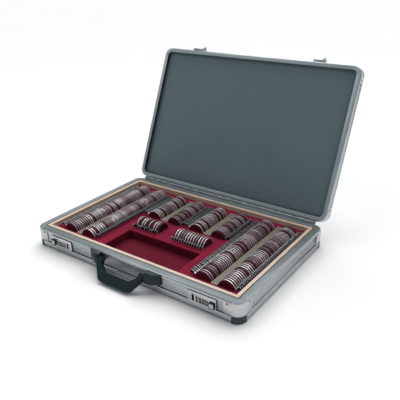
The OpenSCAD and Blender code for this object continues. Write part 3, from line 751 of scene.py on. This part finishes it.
for name, key, width in (("base_rails", "frame", 0.25), ("lid_rails", "lid_frame", 0.25),
                         ("base_corners", "corner", 0.15), ("lid_corners", "lid_corner", 0.15),
                         ("corner_feet", "foot", 0.5), ("base_panel", "panel", 0.0),
                         ("lid_panel", "lid_panel", 0.0), ("hinge_leaf_base", "steel", 0.15),
                         ("hinge_leaf_lid", "steel", 0.15), ("hinge_pin", "rivet", 0.2),
                         ("base_rivets", "rivet", 0.45), ("lid_rivets", "rivet", 0.45),
                         ("hasp_plates", "chrome", 0.2), ("hasp_left", "chrome", 0.25),
                         ("hasp_right", "chrome", 0.25), ("lock_case_left", "plate", 0.2),
                         ("lock_case_right", "plate", 0.2), ("lock_axles", "rivet", 0.1),
                         ("lock_markers", "red", 0.1), ("latch_bolt_left", "rivet", 0.1),
                         ("latch_bolt_right", "rivet", 0.1), ("handle_pins", "rivet", 0.3)):
    dressed(name, M[key], width * MM, 3 if "rivets" in name else 2)


def gasket(name):
    """Painted shade round a lock's plate and in its windows: their side faces take the dark lock_shadow
    material.
    """
    lock = bpy.data.objects[name + "_finished"]
    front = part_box("base_rails")[0].y
    lock.data.materials.append(M["dark"])
    for f in lock.data.polygons:
        if f.center.y < front + 0.9 * MM and abs(f.normal.y) < 0.5:
            f.material_index = 1


for side in ("left", "right"):
    gasket("lock_case_" + side)


def off_the_bore(joint, radius):
    """Leaves the edges round a bore crisp, so that only the outer edges are rounded."""
    p = Vector(JOINTS[joint]["pos_m"])

    def keep(edge):
        return all(math.hypot(v.co.y - p.y, v.co.z - p.z) > radius for v in edge.verts)
    return keep


dressed("handle", M["grip"], 3.0 * MM, 4, keep=off_the_bore("handle_fold", 3.2 * MM))
for side in ("left", "right"):
    dressed("handle_bracket_" + side, M["plastic"], 1.2 * MM, 3, keep=off_the_bore("handle_fold", 3.2 * MM))


def slide_button(side):
    """A black slide button with a bright cap let into its face."""
    lo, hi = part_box("button_" + side)
    dressed("button_" + side, M["plastic"], 0.5 * MM, 2)
    width = hi.x - lo.x
    size = width / 2 - 1.7 * MM
    mid = Vector(((lo.x + hi.x) / 2, lo.y, lo.z + width / 2))
    bm = bmesh.new()
    outline = [(-size, -size), (size, -size), (size, size), (-size, size)]
    face = Matrix.Translation(mid) @ Matrix.Rotation(math.radians(90), 4, "X")
    plate(bm, outline, -0.6 * MM, 0.25 * MM, 0.3 * MM, face)
    mesh = finished_mesh(bm, "button_cap_" + side, [M["plate"]], 30)
    add_piece("button_cap_" + side, mesh, "button_" + side)


for side in ("left", "right"):
    slide_button(side)


def digit_mesh(text, size):
    """One printed figure, as a mesh."""
    curve = bpy.data.curves.new("digit", "FONT")
    curve.body = text
    curve.size = size
    curve.extrude = 0.08 * MM
    curve.align_x = "CENTER"
    curve.align_y = "CENTER"
    o = bpy.data.objects.new("digit", curve)
    bpy.context.scene.collection.objects.link(o)
    bpy.context.view_layer.update()
    mesh = bpy.data.meshes.new_from_object(o.evaluated_get(bpy.context.evaluated_depsgraph_get()))
    bpy.data.objects.remove(o)
    bpy.data.curves.remove(curve)
    return mesh


DIGITS = [digit_mesh(str(d), 3.4 * MM) for d in range(10)]


def number_wheel(name, shown):
    """A ten-sided number wheel with eased rims, a groove between the figures, and printed figures."""
    lo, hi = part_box(name)
    # a little smaller than the CAD dial, all round
    mid, r, w = (lo + hi) / 2, (hi.z - lo.z) / 2 - 0.1 * MM, hi.x - lo.x - 0.12 * MM
    bore = 1.25 * MM
    bm = bmesh.new()
    flat = r * math.cos(math.pi / 10)
    rings = [(bore, -w / 2), (0.72, -w / 2), (0.94, -w / 2 + 0.1 * MM), (1.0, -w / 2 + 0.6 * MM),
             (1.0, w / 2 - 0.6 * MM), (0.94, w / 2 - 0.1 * MM), (0.72, w / 2), (bore, w / 2)]
    per_side = 6
    steps = 10 * per_side
    loops = []
    for k in range(steps):
        a = 2 * math.pi * k / steps
        part = (k % per_side) / per_side * 2 * math.pi / 10
        side = flat / math.cos(part - math.pi / 10)
        if k % per_side == 0:
            side = r * 0.93
        a += math.pi / 10
        # a ring's first value is the bore's radius, or else a share of the side's distance from the axis
        spokes = [(s if s == bore else side * s, x) for s, x in rings]
        loops.append([bm.verts.new(mid + Vector((x, d * math.cos(a), d * math.sin(a)))) for d, x in spokes])
    for k in range(steps):
        a, b = loops[k], loops[(k + 1) % steps]
        for i in range(len(rings)):
            j = (i + 1) % len(rings)
            bm.faces.new((a[i], b[i], b[j], a[j]))
    for d in range(10):
        digit = bmesh.new()
        digit.from_mesh(DIGITS[d])
        bmesh.ops.remove_doubles(digit, verts=digit.verts, dist=1e-6)
        turn = Matrix.Rotation(2 * math.pi * (d - shown) / 10, 4, "X")
        digit.transform(Matrix.Translation(mid) @ turn @ Matrix.Translation((0, -flat, 0))
                        @ Matrix.Rotation(math.radians(90), 4, "X"))
        scratch = bpy.data.meshes.new("scratch")
        digit.to_mesh(scratch)
        digit.free()
        before = len(bm.faces)
        bm.from_mesh(scratch)
        bpy.data.meshes.remove(scratch)
        bm.faces.ensure_lookup_table()
        for f in bm.faces[before:]:
            f.material_index = 1
    mesh = finished_mesh(bm, name + "_wheel", [M["dial"], M["ink"]], 25)
    add_piece(name + "_wheel", mesh, NODES[name]["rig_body"], None, [name])


for side, code in (("left", (4, 1, 7)), ("right", (0, 3, 8))):
    for n, shown in enumerate(code, 1):
        number_wheel("dial_%s_%d" % (side, n), shown)


# ---------------------------------------------------------------- padded lining

def lining():
    """The lid's pad: a rounded slab, blown up a little by a cloth simulation and pinned at its edge."""
    co = [TO_CLOSED @ v.co for v in NODES["lid_lining"].data.vertices]
    lo = Vector([min(c[i] for c in co) for i in range(3)])
    hi = Vector([max(c[i] for c in co) for i in range(3)])
    radius, inset, face = 15.8 * MM, 0.6 * MM, 1.5 * MM
    step = 6.0 * MM
    tuck_depth, tuck_width, held_width = 3.2 * MM, 9 * MM, 8 * MM
    nx, ny = round((hi.x - lo.x) / step), round((hi.y - lo.y) / step)
    cx, cy = (lo.x + hi.x) / 2, (lo.y + hi.y) / 2
    hx, hy = (hi.x - lo.x) / 2 - inset, (hi.y - lo.y) / 2 - inset

    def rounded(u, v):
        """A grid point on the slab's outline, with the square's corners drawn in to round ones."""
        x, y = u * hx, v * hy
        dx, dy = abs(x) - (hx - radius), abs(y) - (hy - radius)
        if dx > 0 and dy > 0:
            far = max(dx, dy)
            scale = far / math.hypot(dx, dy)
            x = math.copysign(hx - radius + dx * scale, x)
            y = math.copysign(hy - radius + dy * scale, y)
        return x, y

    bm = bmesh.new()
    levels = []
    for level in range(2):
        grid = []
        for j in range(ny + 1):
            row = []
            for i in range(nx + 1):
                x, y = rounded(2 * i / nx - 1, 2 * j / ny - 1)
                edge = min(hx - abs(x), hy - abs(y))
                tuck = tuck_depth * max(0.0, 1 - edge / tuck_width) ** 2
                z = lo.z + face + tuck if level == 0 else hi.z - 0.3 * MM
                row.append(bm.verts.new((cx + x, cy + y, z)))
            grid.append(row)
        levels.append(grid)
    bottom, top = levels
    for j in range(ny):
        for i in range(nx):
            bm.faces.new((bottom[j][i], bottom[j + 1][i], bottom[j + 1][i + 1], bottom[j][i + 1]))
            bm.faces.new((top[j][i], top[j][i + 1], top[j + 1][i + 1], top[j + 1][i]))
    for i in range(nx):
        bm.faces.new((bottom[0][i], bottom[0][i + 1], top[0][i + 1], top[0][i]))
        bm.faces.new((bottom[ny][i + 1], bottom[ny][i], top[ny][i], top[ny][i + 1]))
    for j in range(ny):
        bm.faces.new((bottom[j + 1][0], bottom[j][0], top[j][0], top[j + 1][0]))
        bm.faces.new((bottom[j][nx], bottom[j + 1][nx], top[j + 1][nx], top[j][nx]))
    bmesh.ops.recalc_face_normals(bm, faces=bm.faces)
    mesh = bpy.data.meshes.new("lining_pad")
    bm.to_mesh(mesh)
    bm.free()
    loose = {v.index for v in mesh.vertices if v.co.z < (lo.z + hi.z) / 2
             and min(hx - abs(v.co.x - cx), hy - abs(v.co.y - cy)) > held_width}
    o = bpy.data.objects.new("lining_pad", mesh)
    bpy.context.scene.collection.objects.link(o)
    held = o.vertex_groups.new(name="held")
    held.add([v.index for v in mesh.vertices if v.index not in loose], 1.0, "REPLACE")
    start = [v.co.copy() for v in mesh.vertices]
    cloth_mod = o.modifiers.new("pad", "CLOTH")
    c = cloth_mod.settings
    c.vertex_group_mass = "held"
    c.quality = 5
    c.mass = 0.2
    c.tension_stiffness = c.compression_stiffness = 12
    c.bending_stiffness = 2.0
    c.use_pressure = True
    c.uniform_pressure_force = 1.2
    c.effector_weights.gravity = 0
    scene = bpy.context.scene
    frames = 16
    cloth_mod.point_cache.frame_start, cloth_mod.point_cache.frame_end = 1, frames
    for f in range(1, frames + 1):
        scene.frame_set(f)
    swollen = o.evaluated_get(bpy.context.evaluated_depsgraph_get()).data
    moved = [v.co.copy() for v in swollen.vertices]
    o.modifiers.clear()
    scene.frame_set(1)
    cap = 1.5 * MM
    for v, a, b in zip(mesh.vertices, start, moved):
        d = b - a
        if d.length > cap:
            d *= cap / d.length
        v.co = a + d
    mesh.transform(TO_OPEN)
    mesh.materials.append(M["lining"])
    smooth(mesh, 60)
    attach(o, "lid")
    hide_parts("lid_lining")


lining()


# ---------------------------------------------------------------- stage, light and camera

def floor():
    """A wide, pale, matt floor under the case."""
    bm = bmesh.new()
    bmesh.ops.create_grid(bm, x_segments=2, y_segments=2, size=40)
    mesh = bpy.data.meshes.new("floor")
    bm.to_mesh(mesh)
    bm.free()
    o = bpy.data.objects.new("floor", mesh)
    bpy.context.scene.collection.objects.link(o)
    s = Shade("floor_paint")
    cloud = s.noise(1.5, 3)
    s.colour(s.ramp(cloud, [(0.3, (0.815, 0.815, 0.815)), (0.7, (0.835, 0.835, 0.835))]))
    s.rough(s.span(s.noise(6, 3), 0.75, 0.9))
    s.bump(s.noise(300, 2), 0.03, 0.0002)
    s.set(Specular_IOR_Level=0.1)
    mesh.materials.append(s.material)


def area_light(name, place, target, size, energy, colour):
    """A rectangular light at a place, turned towards a target."""
    data = bpy.data.lights.new(name, "AREA")
    data.shape = "RECTANGLE"
    data.size, data.size_y = size
    data.energy = energy
    data.color = colour
    o = bpy.data.objects.new(name, data)
    bpy.context.scene.collection.objects.link(o)
    o.location = place
    o.rotation_mode = "QUATERNION"
    o.rotation_quaternion = (Vector(target) - Vector(place)).to_track_quat("-Z", "Y")


def surroundings():
    """A studio that is dim behind the camera and bright above and beyond the case, with one broad soft light."""
    world = bpy.data.worlds.new("studio")
    bpy.context.scene.world = world
    world.use_nodes = True
    tree = world.node_tree
    back = tree.nodes["Background"]
    back.inputs["Strength"].default_value = 1.0
    towards = tree.nodes.new("ShaderNodeSeparateXYZ")
    tree.links.new(tree.nodes.new("ShaderNodeTexCoord").outputs["Generated"], towards.inputs[0])
    rise = tree.nodes.new("ShaderNodeMath")
    rise.operation = "MULTIPLY_ADD"
    rise.inputs[1].default_value = 0.9
    tree.links.new(towards.outputs["Z"], rise.inputs[0])
    tree.links.new(towards.outputs["Y"], rise.inputs[2])
    shade = tree.nodes.new("ShaderNodeValToRGB")
    shade.color_ramp.elements[0].position, shade.color_ramp.elements[0].color = 0.0, (0.25, 0.27, 0.28, 1)
    shade.color_ramp.elements[1].position, shade.color_ramp.elements[1].color = 1.0, (0.42, 0.43, 0.44, 1)
    level = tree.nodes.new("ShaderNodeMapRange")
    level.inputs["From Min"].default_value, level.inputs["From Max"].default_value = -0.9, 0.9
    tree.links.new(rise.outputs[0], level.inputs["Value"])
    tree.links.new(level.outputs[0], shade.inputs["Fac"])
    tree.links.new(shade.outputs["Color"], back.inputs["Color"])
    sun = bpy.data.lights.new("overhead", "SUN")
    sun.energy = 2.95
    sun.angle = math.radians(66)
    o = bpy.data.objects.new("overhead", sun)
    bpy.context.scene.collection.objects.link(o)
    o.rotation_mode = "QUATERNION"
    o.rotation_quaternion = Vector((0.16, -0.6, -1)).to_track_quat("-Z", "Y")
    area_light("key", (-0.9, -0.7, 1.6), (0, 0, 0.05), (0.9, 0.9), 5, (1.0, 0.99, 0.97))


def camera():
    """The photograph's view, fitted to the case's edges."""
    azimuth, height, roll = math.radians(35.704), math.radians(24.738), math.radians(-1.088)
    focal_length, place = 46.89, Vector((0.63068, -0.7939, 0.57334))
    data = bpy.data.cameras.new("camera")
    data.sensor_width = 36.0
    data.lens = focal_length
    data.clip_end = 200
    o = bpy.data.objects.new("camera", data)
    bpy.context.scene.collection.objects.link(o)
    back = Vector((math.sin(azimuth) * math.cos(height), -math.cos(azimuth) * math.cos(height),
                   math.sin(height)))
    right = (-back).cross(Vector((0, 0, 1))).normalized()
    up = right.cross(-back)
    r = right * math.cos(roll) + up * math.sin(roll)
    u = -right * math.sin(roll) + up * math.cos(roll)
    m = Matrix((r, u, back)).transposed().to_4x4()
    m.translation = place
    o.matrix_world = m
    bpy.context.scene.camera = o


floor()
surroundings()
camera()
bpy.context.scene.view_settings.view_transform = "Standard"
